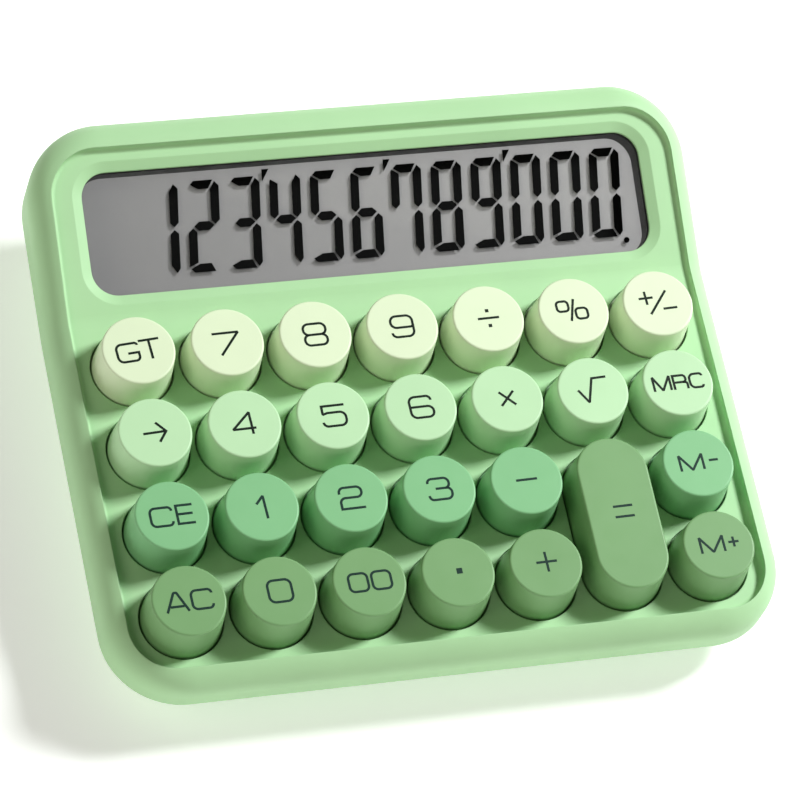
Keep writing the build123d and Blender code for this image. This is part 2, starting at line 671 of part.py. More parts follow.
# ---- everything, in its place ------------------------------------------------------------------
def make_pieces():
    pieces = {
        "top_case": make_top_case(),
        "bottom_case": make_bottom_case(),
        "battery_door": make_battery_door(),
        "rubber_feet": make_rubber_feet(),
        "case_screws": make_case_screws(),
        "display_lens": make_display_lens(),
        "display_frame": make_display_frame(),
        "lcd_cell": make_lcd_cell(),
        "lcd_reflector": make_lcd_reflector(),
        "foam_pad": make_foam_pad(),
        "contact_strip": make_contact_strip(),
        "display_board": make_display_board(),
        "display_screws": make_display_screws(),
        "key_guide": make_key_guide(),
        "dome_mat": make_dome_mat(),
        "key_board": make_key_board(),
        "board_screws": make_board_screws(),
        "controller_chip": make_controller_chip(),
        "ribbon_cable": make_ribbon_cable(),
        "battery_front": make_battery(FRONT_CELL, 1),
        "battery_back": make_battery(BACK_CELL, -1),
        "battery_plates": make_battery_plates(),
        "battery_springs": make_battery_springs(),
        "battery_lead_red": make_battery_lead(-31.0, BACK_CELL),
        "battery_lead_black": make_battery_lead(-29.0, FRONT_CELL),
    }
    round_key = make_key(Circle, [(0, 0)])
    for name, spot in ROUND_KEYS.items():
        pieces[name] = Pos(*key_centre(*spot)) * round_key
    half_pitch = KEY_PITCH / 2
    tall_key = make_key(slot, [(0, -half_pitch), (0, half_pitch)])
    pieces["key_equals"] = Pos(*key_centre(*TALL_KEY)) * tall_key
    return pieces


def solids_of(shape):
    """The solids of a piece, or of a list of identical pieces."""
    shapes = shape if isinstance(shape, list) else [shape]
    return [solid for one in shapes for solid in one.solids()]


levelled = {
    name: Rot(WEDGE, 0, 0) * Compound(children=solids_of(shape)) for name, shape in make_pieces().items()
}
box = Compound(children=list(levelled.values())).bounding_box()
to_origin = Pos(-(box.min.X + box.max.X) / 2, -(box.min.Y + box.max.Y) / 2, -box.min.Z)

os.makedirs("parts", exist_ok=True)
for name, shape in levelled.items():
    placed = [to_origin * solid for solid in shape.solids()]
    export_step(placed[0] if len(placed) == 1 else Compound(children=placed), f"parts/{name}.step")
print("origin moved by", to_origin.position)
print("size", box.size)
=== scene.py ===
import json
from math import ceil, cos, pi, radians, sin, tan

import bmesh
import bpy
from mathutils import Matrix, Quaternion, Vector

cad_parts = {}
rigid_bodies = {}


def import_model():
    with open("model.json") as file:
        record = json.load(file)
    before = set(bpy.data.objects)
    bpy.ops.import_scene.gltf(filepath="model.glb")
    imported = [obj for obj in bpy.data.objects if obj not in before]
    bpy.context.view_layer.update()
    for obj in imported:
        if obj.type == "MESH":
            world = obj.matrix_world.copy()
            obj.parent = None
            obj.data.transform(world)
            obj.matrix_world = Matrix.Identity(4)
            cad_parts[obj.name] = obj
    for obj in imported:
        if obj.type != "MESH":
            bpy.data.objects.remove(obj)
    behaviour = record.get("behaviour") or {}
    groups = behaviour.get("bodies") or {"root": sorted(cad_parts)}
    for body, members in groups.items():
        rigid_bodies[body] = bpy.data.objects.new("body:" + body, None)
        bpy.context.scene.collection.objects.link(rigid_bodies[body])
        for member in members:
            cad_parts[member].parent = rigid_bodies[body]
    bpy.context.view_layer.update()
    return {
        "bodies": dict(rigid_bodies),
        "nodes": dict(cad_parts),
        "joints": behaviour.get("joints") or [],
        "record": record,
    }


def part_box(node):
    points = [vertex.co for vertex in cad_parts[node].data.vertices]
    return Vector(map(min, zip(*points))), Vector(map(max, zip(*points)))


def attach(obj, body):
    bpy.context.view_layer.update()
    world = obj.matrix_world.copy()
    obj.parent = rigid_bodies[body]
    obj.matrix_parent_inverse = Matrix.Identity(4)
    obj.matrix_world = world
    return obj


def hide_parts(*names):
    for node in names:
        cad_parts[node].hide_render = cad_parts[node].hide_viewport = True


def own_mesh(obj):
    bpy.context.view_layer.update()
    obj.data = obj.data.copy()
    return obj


# A desktop calculator: materials for the CAD nodes, the printed legends, the digits of the display,
# the silicone domes under the keys, the floor, the lights and the camera. Lengths in the tables are
# millimetres; the scene is in metres.
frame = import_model()

MM = 0.001

# ---- axes --------------------------------------------------------------------------------------
DISPLAY_TILT = radians(15)      # the display section leans back from the key field by this much


def joint_named(name):
    return next(joint for joint in frame["joints"] if joint["name"] == name)


def axes(origin, up):
    """A frame whose Z is up and whose X runs to the right of the calculator."""
    right = Vector((1, 0, 0))
    back = up.cross(right)
    rotation = Matrix((right, back, up)).transposed().to_4x4()
    return Matrix.Translation(origin) @ rotation


def extent(node, place):
    """Lowest and highest corner of a CAD node, measured along the axes of a frame."""
    local = place.inverted()
    points = [local @ vertex.co for vertex in frame["nodes"][node].data.vertices]
    low = Vector([min(point[axis] for point in points) for axis in range(3)])
    high = Vector([max(point[axis] for point in points) for axis in range(3)])
    return low, high


def key_names():
    """The nodes that are keys: each one is named after its body."""
    return [node for node in frame["nodes"] if node.startswith("key_") and node in frame["bodies"]]


KEY_UP = -Vector(joint_named("key_gt_press")["axis"]).normalized()
DECK = axes(Vector(), KEY_UP)
DISPLAY_UP = Matrix.Rotation(DISPLAY_TILT, 3, "X") @ KEY_UP


def key_top(node):
    """The frame at the middle of a key's top."""
    low, high = extent(node, DECK)
    return DECK @ Matrix.Translation(((low.x + high.x) / 2, (low.y + high.y) / 2, high.z))


def reflector_top():
    """The frame at the middle of the reflector behind the liquid crystal."""
    tilted = axes(Vector(), DISPLAY_UP)
    low, high = extent("lcd_reflector", tilted)
    return tilted @ Matrix.Translation(((low.x + high.x) / 2, (low.y + high.y) / 2, high.z))


# ---- mesh tools --------------------------------------------------------------------------------
ARC_STEP = radians(10)
SHARPEST_MITRE = 1.6            # corners whose mitre is longer than this many half widths are cut flat
SAME_POINT = 1e-6
POLE_WIDTH = 1e-4               # points of a turned shape closer than this are its pole


def add_piece(name, bm, place, body, material, smooth=False):
    """Turns a bmesh in millimetres into a piece at a place, riding on a body."""
    bmesh.ops.recalc_face_normals(bm, faces=bm.faces)
    mesh = bpy.data.meshes.new(name)
    bm.to_mesh(mesh)
    bm.free()
    mesh.transform(place @ Matrix.Scale(MM, 4))
    for polygon in mesh.polygons:
        polygon.use_smooth = smooth
    mesh.materials.append(material)
    piece = bpy.data.objects.new(name, mesh)
    bpy.context.scene.collection.objects.link(piece)
    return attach(piece, body)


def prism(bm, outline, bottom, top):
    """A flat plate with the given outline between two heights."""
    lower = [bm.verts.new((x, y, bottom)) for x, y in outline]
    upper = [bm.verts.new((x, y, top)) for x, y in outline]
    bm.faces.new(lower)
    bm.faces.new(upper)
    for i in range(len(outline)):
        j = (i + 1) % len(outline)
        bm.faces.new((lower[i], lower[j], upper[j], upper[i]))


def revolve(bm, profile, steps, centre=(0, 0)):
    """Turns a closed profile of (radius, height) points about a vertical axis."""
    rings = []
    for step in range(steps):
        angle = 2 * pi * step / steps
        rings.append([
            bm.verts.new((centre[0] + r * cos(angle), centre[1] + r * sin(angle), z)) for r, z in profile
        ])
    for step in range(steps):
        here, there = rings[step], rings[(step + 1) % steps]
        for i in range(len(profile)):
            j = (i + 1) % len(profile)
            bm.faces.new((here[i], here[j], there[j], there[i]))
    bmesh.ops.remove_doubles(bm, verts=bm.verts, dist=POLE_WIDTH)


def round_corner(before, corner, after, radius):
    """Points of the arc that rounds one corner of a path."""
    into = (before - corner).normalized()
    out = (after - corner).normalized()
    half = into.angle(out) / 2
    reach = radius / tan(half)
    reach = min(reach, (before - corner).length * 0.98, (after - corner).length * 0.98)
    radius = reach * tan(half)
    middle = corner + (into + out).normalized() * (radius / sin(half))
    start = corner + into * reach - middle
    turn = pi - 2 * half
    sign = 1 if into.x * out.y - into.y * out.x < 0 else -1
    count = max(2, ceil(turn / ARC_STEP))
    arc = []
    for step in range(count + 1):
        angle = sign * turn * step / count
        arc.append(middle + Vector((
            start.x * cos(angle) - start.y * sin(angle), start.x * sin(angle) + start.y * cos(angle)
        )))
    return arc


def rounded(corners, closed=False):
    """Corner points (x, y) or (x, y, radius) as a path with its corners rounded."""
    points = [Vector(corner[:2]) for corner in corners]
    path = []
    for i, corner in enumerate(corners):
        inner = closed or 0 < i < len(corners) - 1
        if inner and len(corner) == 3:
            path += round_corner(points[i - 1], points[i], points[(i + 1) % len(points)], corner[2])
        else:
            path.append(points[i])
    return path


def left_of(heading):
    """A direction turned a quarter to the left."""
    return Vector((-heading.y, heading.x))


def edge_points(before, point, after, half):
    """Where a stroke's left and right edges turn at a corner; a very sharp corner is cut flat."""
    arriving, leaving = (point - before).normalized(), (after - point).normalized()
    normal = left_of(arriving + leaving).normalized()
    mitre = normal * half / normal.dot(left_of(leaving))
    if mitre.length < SHARPEST_MITRE * half:
        return [(point + mitre, point - mitre)]
    if arriving.cross(leaving) > 0:
        return [(point + mitre, point - left_of(heading) * half) for heading in (arriving, leaving)]
    return [(point + left_of(heading) * half, point - mitre) for heading in (arriving, leaving)]


def stroke(bm, corners, width, height, closed=False):
    """A pen stroke of a constant width along a path, as a thin plate."""
    path = rounded(corners, closed)
    if closed:
        path = path[-1:] + path + path[:1]
    else:
        path = [2 * path[0] - path[1]] + path + [2 * path[-1] - path[-2]]
    rings = []
    for before, point, after in zip(path, path[1:], path[2:]):
        for a, b in edge_points(before, point, after, width / 2):
            rings.append([bm.verts.new(corner) for corner in (
                (a.x, a.y, 0), (b.x, b.y, 0), (b.x, b.y, height), (a.x, a.y, height)
            )])
    for here, there in zip(rings, rings[1:] + rings[:1] if closed else rings[1:]):
        for k in range(4):
            m = (k + 1) % 4
            bm.faces.new((here[k], here[m], there[m], there[k]))
    if not closed:
        bm.faces.new(rings[0])
        bm.faces.new(rings[-1])
    bmesh.ops.remove_doubles(bm, verts=[vert for ring in rings for vert in ring], dist=SAME_POINT)


# ---- materials ---------------------------------------------------------------------------------
def srgb(red, green, blue):
    """A colour given as it looks on a screen, 0 to 255, as linear light."""
    def linear(value):
        value = value / 255
        return value / 12.92 if value <= 0.04045 else ((value + 0.055) / 1.055) ** 2.4
    return (linear(red), linear(green), linear(blue), 1)


class Shader:
    """A material with one Principled shader and short calls for the nodes that feed it."""

    def __init__(self, name, **settings):
        self.material = bpy.data.materials.new(name)
        self.material.use_nodes = True
        self.tree = self.material.node_tree
        self.principled = self.tree.nodes["Principled BSDF"]
        self.position = self.tree.nodes.new("ShaderNodeTexCoord").outputs["Object"]
        for socket, value in settings.items():
            title = socket.replace("_", " ").title().replace("Ior", "IOR")
            self.principled.inputs[title].default_value = value

    def add(self, kind, **links):
        """A new node; a number or colour is set on its socket and an output is linked to it."""
        node = self.tree.nodes.new(kind)
        for socket, value in links.items():
            self.feed(node.inputs[socket], value)
        return node

    def feed(self, socket, value):
        if isinstance(value, bpy.types.NodeSocket):
            self.tree.links.new(value, socket)
        else:
            socket.default_value = value

    def set(self, socket, value):
        self.feed(self.principled.inputs[socket], value)

    def noise(self, scale, detail=3.0, roughness=0.5):
        node = self.add(
            "ShaderNodeTexNoise", Vector=self.position, Scale=scale, Detail=detail, Roughness=roughness
        )
        return node.outputs["Fac"]

    def spread(self, value, low, high, from_low=0.3, from_high=0.7):
        """Maps a noise value onto a range."""
        node = self.tree.nodes.new("ShaderNodeMapRange")
        for socket, number in zip(node.inputs[1:5], (from_low, from_high, low, high)):
            socket.default_value = number
        self.feed(node.inputs["Value"], value)
        return node.outputs["Result"]

    def mix(self, factor, first, second):
        node = self.tree.nodes.new("ShaderNodeMix")
        node.data_type = "RGBA"
        sockets = {socket.identifier: socket for socket in node.inputs}
        self.feed(sockets["Factor_Float"], factor)
        self.feed(sockets["A_Color"], first)
        self.feed(sockets["B_Color"], second)
        return next(socket for socket in node.outputs if socket.identifier == "Result_Color")

    def bump(self, height, distance, strength=1.0, edge=0.0):
        """A bump, over edges that look rounded by a radius."""
        node = self.add("ShaderNodeBump", Height=height, Distance=distance, Strength=strength)
        if edge:
            bevel = self.add("ShaderNodeBevel", Radius=edge)
            bevel.samples = 6
            self.feed(node.inputs["Normal"], bevel.outputs["Normal"])
        self.set("Normal", node.outputs["Normal"])


def tinted(colour, factor):
    """A colour made lighter or darker."""
    return tuple(min(1, channel * factor) for channel in colour[:3]) + (1,)


def moulded_plastic(name, colour, roughness, edge=0.12 * MM, grain=0.006 * MM):
    """Satin moulded plastic: a fine spark-eroded grain, faint flow marks and uneven gloss."""
    shader = Shader(name, specular_ior_level=0.25)
    flow = shader.noise(45, detail=4)
    shader.set("Base Color", shader.mix(
        shader.spread(flow, 0, 1), tinted(colour, 0.97), tinted(colour, 1.03)
    ))
    shader.set("Roughness", shader.spread(shader.noise(260, detail=5), roughness - 0.05, roughness + 0.05))
    shader.bump(shader.noise(5200, detail=2), grain, 0.6, edge)
    return shader.material


def ink(name, colour):
    """Pad-printed ink with a slightly uneven coat."""
    shader = Shader(name, specular_ior_level=0.15)
    coat = shader.noise(2600, detail=3)
    shader.set("Base Color", shader.mix(shader.spread(coat, 0, 1), colour, tinted(colour, 1.4)))
    shader.set("Roughness", shader.spread(coat, 0.45, 0.6))
    shader.bump(coat, 0.004 * MM, 0.5)
    return shader.material


def crystal_black(name):
    """The dark state of the liquid crystal: black without gloss."""
    shader = Shader(name, specular_ior_level=0.05)
    grain = shader.noise(4000, detail=2)
    shader.set("Base Color", shader.mix(shader.spread(grain, 0, 1), srgb(3, 3, 3), srgb(6, 6, 6)))
    shader.set("Roughness", shader.spread(grain, 0.6, 0.7))
    return shader.material


def clear_sheet(name, colour, alpha, roughness):
    """A polished clear sheet with faint moulding waves and fine scuffs in its gloss."""
    shader = Shader(name, base_color=colour, alpha=alpha)
    shader.set("Roughness", shader.spread(shader.noise(900, detail=6), roughness, roughness + 0.06))
    shader.bump(shader.noise(70, detail=1), 0.01 * MM, 0.2)
    return shader.material


def reflector_film(name):
    """The pale grey film behind the liquid crystal, with painted light: its colour grows lighter towards
    its right end, where the light falls.
    """
    shader = Shader(name)
    across = shader.add("ShaderNodeSeparateXYZ", Vector=shader.position).outputs["X"]
    low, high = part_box("lcd_reflector")
    half = (high.x - low.x) / 2
    # painted light: the colour ramps from darker grey at the film's left end to lighter grey at its right
    # end
    light = shader.spread(across, 0, 1, -half, half)
    shader.set("Base Color", shader.mix(light, srgb(150, 150, 151), srgb(182, 182, 183)))
    shader.set("Roughness", shader.spread(shader.noise(3000, detail=4), 0.55, 0.7))
    shader.bump(shader.noise(9000, detail=2), 0.003 * MM, 0.4)
    return shader.material


def rubber(name, colour, grain=1800):
    """Matt rubber with a dusty, pebbled skin."""
    shader = Shader(name)
    dust = shader.noise(350, detail=6)
    shader.set("Base Color", shader.mix(shader.spread(dust, 0, 1), colour, tinted(colour, 1.35)))
    shader.set("Roughness", shader.spread(dust, 0.75, 0.92))
    shader.bump(shader.noise(grain, detail=3), 0.02 * MM, 0.5)
    return shader.material


def silicone(name):
    """Milky silicone rubber that lets some light through."""
    shader = Shader(name, subsurface_weight=0.3, subsurface_scale=0.002)
    shader.set("Base Color", shader.mix(
        shader.spread(shader.noise(120, detail=4), 0, 1), srgb(214, 218, 212), srgb(232, 235, 229)
    ))
    shader.set("Roughness", shader.spread(shader.noise(700, detail=4), 0.4, 0.55))
    shader.bump(shader.noise(2500, detail=2), 0.008 * MM, 0.4, 0.1 * MM)
    return shader.material


def metal(name, colour, roughness, stretch=(1, 1, 14)):
    """Plated metal with drawing marks along one direction."""
    shader = Shader(name, metallic=1.0)
    mapping = shader.add("ShaderNodeMapping", Vector=shader.position)
    mapping.inputs["Scale"].default_value = stretch
    marks = shader.add(
        "ShaderNodeTexNoise", Vector=mapping.outputs["Vector"], Scale=900.0, Detail=5.0
    ).outputs["Fac"]
    shader.set("Base Color", shader.mix(shader.spread(marks, 0, 1), tinted(colour, 0.85), colour))
    shader.set("Roughness", shader.spread(marks, roughness - 0.08, roughness + 0.1))
    shader.bump(marks, 0.004 * MM, 0.4, 0.08 * MM)
    return shader.material


def circuit_board(name):
    """Green solder mask over copper tracks that run in steps."""
    shader = Shader(name)
    tracks = shader.tree.nodes.new("ShaderNodeTexBrick")
    shader.feed(tracks.inputs["Vector"], shader.position)
    layout = {"Scale": 240.0, "Mortar Size": 0.012, "Brick Width": 1.7, "Row Height": 0.3}
    for socket, value in layout.items():
        tracks.inputs[socket].default_value = value
    line = tracks.outputs["Fac"]
    shader.set("Base Color", shader.mix(line, srgb(24, 92, 52), srgb(52, 130, 74)))
    shader.set("Roughness", shader.spread(shader.noise(500, detail=4), 0.28, 0.42))
    shader.bump(line, 0.03 * MM, 0.6)
    return shader.material


def foam(name):
    """Open-skinned foam with small cells, whose pits are darkened with painted shade."""
    shader = Shader(name)
    cells = shader.add("ShaderNodeTexVoronoi", Vector=shader.position, Scale=2400.0).outputs["Distance"]
    # painted shade: the colour is darker towards the middle of each cell, where the bump makes a pit
    painted_pore_shade = shader.spread(cells, 0, 1, 0, 0.7)
    shader.set("Base Color", shader.mix(painted_pore_shade, srgb(28, 28, 30), srgb(62, 62, 64)))
    shader.set("Roughness", shader.spread(cells, 0.85, 0.98, 0, 0.7))
    shader.bump(cells, 0.06 * MM, 0.8)
    return shader.material


def striped(name, first, second, scale, axis="X", roughness=0.5):
    """Bands of two colours, as on a contact strip or on the tracks of a flat cable."""
    shader = Shader(name)
    wave = shader.add("ShaderNodeTexWave", Vector=shader.position, Scale=scale, Distortion=0.15)
    wave.bands_direction = axis
    bands = wave.outputs["Fac"]
    shader.set("Base Color", shader.mix(shader.spread(bands, 0, 1, 0.4, 0.6), first, second))
    shader.set("Roughness", shader.spread(shader.noise(800), roughness - 0.05, roughness + 0.08))
    shader.bump(bands, 0.01 * MM, 0.4)
    return shader.material


BAND_START = 5 * MM             # where a battery's copper band starts, from its middle


def cell_jacket(name):
    """The plain printed sleeve of a battery: one dark band and one copper one, under a gloss varnish."""
    shader = Shader(name, coat_weight=0.6)
    across = shader.add("ShaderNodeSeparateXYZ", Vector=shader.position).outputs["X"]
    step = shader.spread(across, 0, 1, BAND_START, BAND_START + 0.2 * MM)
    shader.set("Base Color", shader.mix(step, srgb(38, 52, 86), srgb(186, 116, 62)))
    shader.set("Roughness", shader.spread(shader.noise(300, detail=5), 0.25, 0.4))
    shader.bump(shader.noise(150, detail=3), 0.02 * MM, 0.3)
    return shader.material


# ---- colours -----------------------------------------------------------------------------------
CASE_GREEN = srgb(174, 215, 166)
KEY_COLOURS = {
    "key_cream": srgb(222, 236, 203),
    "key_mint": srgb(188, 225, 181),
    "key_green": srgb(132, 190, 138),
    "key_olive": srgb(122, 164, 112),
}
INK_ON_PALE = srgb(14, 28, 18)
INK_ON_OLIVE = srgb(20, 46, 40)


def make_materials():
    """One material for each material slot of the record."""
    made = {
        "case_green": moulded_plastic("case_green", CASE_GREEN, 0.5, edge=0.35 * MM),
        "foot_rubber": rubber("foot_rubber", srgb(44, 46, 45)),
        "screw_steel": metal("screw_steel", srgb(196, 196, 200), 0.3),
        "lens_acrylic": clear_sheet("lens_acrylic", srgb(24, 25, 25), 0.04, 0.03),
        "dark_plastic": moulded_plastic("dark_plastic", srgb(78, 78, 82), 0.5),
        "lcd_glass": clear_sheet("lcd_glass", srgb(24, 24, 25), 0.05, 0.12),
        "reflector_film": reflector_film("reflector_film"),
        "foam": foam("foam"),
        "contact_rubber": striped("contact_rubber", srgb(172, 92, 84), srgb(40, 38, 40), 700),
        "circuit_board": circuit_board("circuit_board"),
        "dome_silicone": silicone("dome_silicone"),
        "chip_resin": moulded_plastic("chip_resin", srgb(24, 24, 26), 0.2),
        "ribbon_film": striped("ribbon_film", srgb(228, 226, 214), srgb(176, 170, 150), 160),
        "cell_jacket": cell_jacket("cell_jacket"),
        "contact_steel": metal("contact_steel", srgb(206, 202, 190), 0.25, stretch=(1, 14, 1)),
        "lead_red": rubber("lead_red", srgb(176, 30, 26), grain=900),
        "lead_black": rubber("lead_black", srgb(30, 30, 32), grain=900),
    }
    for slot_name, colour in KEY_COLOURS.items():
        made[slot_name] = moulded_plastic(slot_name, colour, 0.38)
    return made


def dress_nodes(materials):
    """Gives every CAD node the material of its slot in the record."""
    for part in frame["record"]["subparts"]:
        node = frame["nodes"][part["node"]]
        node.data.materials.clear()
        node.data.materials.append(materials[part["material_slot"]])


# ---- legends on the keys -----------------------------------------------------------------------
PEN = 0.53                      # width of a printed line
LEGEND_HEIGHT = 0.03            # thickness of the ink


def ring(x_min, x_max, y_min, y_max, radius):
    """The four corners of a closed, rounded rectangle."""
    return [
        (x_min, y_min, radius), (x_max, y_min, radius), (x_max, y_max, radius), (x_min, y_max, radius)
    ]


def dot(x, y, size):
    """A square dot, as one short stroke."""
    return [(x - size / 2, y), (x + size / 2, y)]


def letter_c(left, right, low, high):
    """The letter C, open on its right side by a third of its height and a millimetre."""
    middle = (low + high) / 2
    opening = (high - low) / 6
    return [
        (right, middle + opening + 0.5), (right, high, 0.9), (left, high, 1.1),
        (left, low, 1.1), (right, low, 0.9), (right, middle - opening - 0.5),
    ]


def letter_m(left, right, low, high):
    """The letter M, whose middle reaches almost to its foot."""
    return [(left, low), (left, high), ((left + right) / 2, low + 0.1), (right, high), (right, low)]


def cross(x, y, reach):
    """A plus sign: one bar and two stubs that end on it."""
    edge = PEN / 2
    return [
        [(x - reach, y), (x + reach, y)],
        [(x, y + edge), (x, y + reach)],
        [(x, y - edge), (x, y - reach)],
    ]


# each stroke is a list of corners (x, y) or (x, y, radius) from the middle of the key's top
OPEN_STROKES = {
    "key_gt": [
        [(-0.1, 1.2), (-0.15, 1.75, 0.9), (-4.7, 1.75, 1.2), (-4.7, -2.35, 1.2), (-0.1, -2.35, 0.9),
         (-0.1, -0.5), (-2.4, -0.5)],
        [(0.3, 2.0), (4.7, 2.0)],
        [(2.5, 1.77), (2.5, -2.45)],
    ],
    "key_7": [[(-3.05, 2.1), (2.6, 2.1), (-1.8, -3.0)]],
    "key_8": [
        [(-1.1, -0.15), (-2.5, -0.15, 1.15), (-2.5, 2.4, 1.2), (2.35, 2.4, 1.2), (2.35, -0.15, 1.15),
         (0.95, -0.15)],
    ],
    "key_9": [
        [(-2.5, -1.45), (-2.5, -2.5, 1.0), (2.25, -2.5, 1.3), (2.35, 2.4, 1.3), (-2.45, 2.4, 1.3),
         (-2.45, -0.3, 1.2), (1.9, -0.3, 0.6), (2.15, -0.1)],
    ],
    "key_divide": [[(-2.35, 0.05), (2.35, 0.05)]],
    "key_percent": [[(0.45, 2.75), (-1.0, -2.4)]],
    "key_sign": cross(-2.45, 1.45, 1.6) + [[(2.35, 2.75), (-2.2, -2.45)], [(0.85, -1.5), (4.0, -1.5)]],
    "key_shift": [[(0.45, 2.1), (2.3, -0.1), (0.5, -2.35)], [(-2.6, -0.1), (1.98, -0.1)]],
    "key_4": [[(1.42, -2.55), (1.3, 2.45), (-2.7, -1.2), (1.17, -1.2)], [(1.63, -1.2), (2.25, -1.2)]],
    "key_5": [
        [(2.7, 2.2), (-2.2, 2.2), (-2.2, 0.3), (-1.2, 0.6, 0.6), (2.65, 0.6, 1.25), (2.65, -2.5, 1.3),
         (-2.4, -2.5, 1.0), (-2.4, -1.5)],
    ],
    "key_6": [
        [(2.4, 1.35), (2.4, 2.35, 0.9), (-2.35, 2.35, 1.3), (-2.35, -2.5, 1.3), (2.6, -2.5, 1.2),
         (2.6, 0.0, 1.15), (-2.12, 0.0)],
    ],
    "key_multiply": [
        [(-1.6, 1.65), (1.6, -1.6)], [(1.6, 1.65), (0.17, 0.2)], [(-0.17, -0.15), (-1.6, -1.6)],
    ],
    "key_root": [[(-3.3, 0.45), (-1.5, -2.65), (0.35, 2.8), (3.5, 2.8)]],
    "key_mrc": [
        letter_m(-5.55, -1.8, -1.65, 1.7),
        [(-1.0, -1.7), (-1.0, 1.55), (1.8, 1.55, 0.75), (1.8, -0.05, 0.65), (-0.77, -0.05)],
        [(1.0, -0.05), (2.0, -0.2, 0.4), (2.0, -1.7)],
        letter_c(2.65, 5.5, -1.65, 1.55),
    ],
    "key_ce": [
        letter_c(-4.55, 0.0, -2.15, 1.95),
        [(4.5, 2.05), (1.05, 2.05), (1.05, -2.05), (4.6, -2.05)],
        [(1.28, 0.1), (4.35, 0.1)],
    ],
    "key_1": [[(-1.1, 0.6), (0.55, 2.35), (0.7, -2.8)]],
    "key_2": [
        [(-2.4, 0.95), (-2.4, 2.35, 1.1), (2.4, 2.35, 1.1), (2.4, 0.0, 1.1), (-2.4, 0.0, 1.1),
         (-2.4, -2.45), (2.65, -2.45)],
    ],
    "key_3": [
        [(-2.3, 1.35), (-2.3, 2.35, 0.9), (2.25, 2.35, 1.1), (2.25, 0.05, 1.0), (-0.8, 0.05)],
        [(1.3, 0.05), (2.55, 0.05, 1.0), (2.55, -2.45, 1.2), (-2.45, -2.45, 0.9), (-2.45, -1.4)],
    ],
    "key_minus": [[(-2.3, 0.1), (2.3, 0.1)]],
    "key_m_minus": [letter_m(-4.05, 1.05, -1.6, 2.0), [(2.45, 0.3), (4.45, 0.3)]],
    "key_ac": [
        [(-4.95, -2.3), (-2.95, 2.0, 0.3), (-2.35, 2.0, 0.3), (-0.35, -2.3)],
        [(-4.1, -1.1), (-1.2, -1.1)],
        letter_c(0.55, 4.85, -2.15, 2.0),
    ],
    "key_plus": cross(0.15, 0.2, 2.25),
    "key_m_plus": [letter_m(-4.05, 1.05, -1.65, 1.95)] + cross(3.3, 0.25, 1.15),
    "key_equals": [[(-1.85, 1.45), (2.4, 1.45)], [(-1.85, -0.95), (2.4, -0.95)]],
}
CLOSED_STROKES = {
    "key_8": [ring(-2.5, 2.35, -2.6, -0.15, 1.15)],
    "key_percent": [ring(-3.6, -1.0, 0.0, 2.4, 0.8), ring(0.35, 2.95, -2.05, 0.45, 0.8)],
    "key_0": [ring(-2.45, 2.55, -2.45, 2.4, 1.3)],
    "key_00": [ring(-4.4, -0.35, -2.0, 2.0, 1.1), ring(0.55, 4.6, -2.0, 2.0, 1.1)],
}
DOTS = {
    "key_divide": [(0, 1.8, 0.75), (0, -1.75, 0.75)],
    "key_point": [(0.3, 0.2, 1.25)],
}
# the legends are printed turned a little, in degrees, and a few of them more than the rest
USUAL_TURN = 1.0
TURNED = {"key_gt": 4.0, "key_shift": 3.0, "key_root": 2.5, "key_sign": 2.0}


def make_legends():
    """The ink on each key, as one piece that rides on the key."""
    pale, olive = ink("ink_on_pale", INK_ON_PALE), ink("ink_on_olive", INK_ON_OLIVE)
    slots = {part["node"]: part["material_slot"] for part in frame["record"]["subparts"]}
    for key in key_names():
        bm = bmesh.new()
        for path in OPEN_STROKES.get(key, []):
            stroke(bm, path, PEN, LEGEND_HEIGHT)
        for path in CLOSED_STROKES.get(key, []):
            stroke(bm, path, PEN, LEGEND_HEIGHT, closed=True)
        for x, y, size in DOTS.get(key, []):
            stroke(bm, dot(x, y, size), size, LEGEND_HEIGHT)
        place = key_top(key) @ Matrix.Rotation(radians(TURNED.get(key, USUAL_TURN)), 4, "Z")
        colour = olive if slots[key] in ("key_olive", "key_green") else pale
        add_piece(key.replace("key_", "legend_"), bm, place, key, colour)


# ---- digits of the display ---------------------------------------------------------------------
DIGIT_PITCH = 9.06
DIGIT_SLANT = 0.1               # sideways shift for each millimetre up
LAST_DIGIT = (55.76, 1.64)      # middle of the last digit, from the middle of the window
SEGMENT_RISE = 0.8              # the crystal layer is this far above the reflector
SEGMENT_THICKNESS = 0.02
SHOWN = "123456789000"
LIT = {
    "0": "abcdef", "1": "bc", "2": "abged", "3": "abgcd", "4": "fgbc", "5": "afgcd", "6": "afgcde",
    "7": "fabc", "8": "abcdefg", "9": "abcdfg",
}
# outlines of the seven segments of an upright digit, from the digit's middle
SEGMENTS = {
    "a": [(-2.9, 9.15), (-2.15, 9.95), (2.1, 9.95), (1.1, 8.05), (-1.15, 8.05)],
    "b": [(2.45, 9.6), (3.45, 8.55), (3.45, 1.1), (2.5, 0.22), (1.6, 1.1), (1.5, 7.9)],
    "c": [(2.5, -0.4), (3.45, -1.3), (3.55, -8.85), (2.85, -9.8), (1.6, -8.05), (1.6, -1.3)],
    "d": [(-3.2, -9.2), (-2.3, -10.05), (2.3, -10.05), (1.3, -8.2), (-1.2, -8.2)],
    "e": [(-2.5, -0.4), (-3.45, -1.3), (-3.45, -8.7), (-1.55, -7.95), (-1.6, -1.3)],
    "f": [(-3.25, 8.95), (-3.45, 8.4), (-3.45, 1.1), (-2.5, 0.22), (-1.6, 1.1), (-1.6, 7.9)],
    "g": [(-2.2, 0.0), (-1.2, 0.95), (1.15, 0.95), (2.2, 0.0), (1.15, -1.0), (-1.15, -1.0)],
}
THOUSANDS_MARK = [(-5.1, 11.3), (-3.5, 11.3), (-5.0, 8.6)]
THOUSANDS_PLACES = (3, 6, 9)
DECIMAL_POINT = (4.3, -11.0)
DECIMAL_RADIUS = 0.65
DECIMAL_STEPS = 24


def slanted(outline, x, y):
    """An outline moved to its place on the display and leaned over."""
    return [(x + px + DIGIT_SLANT * py, y + py) for px, py in outline]


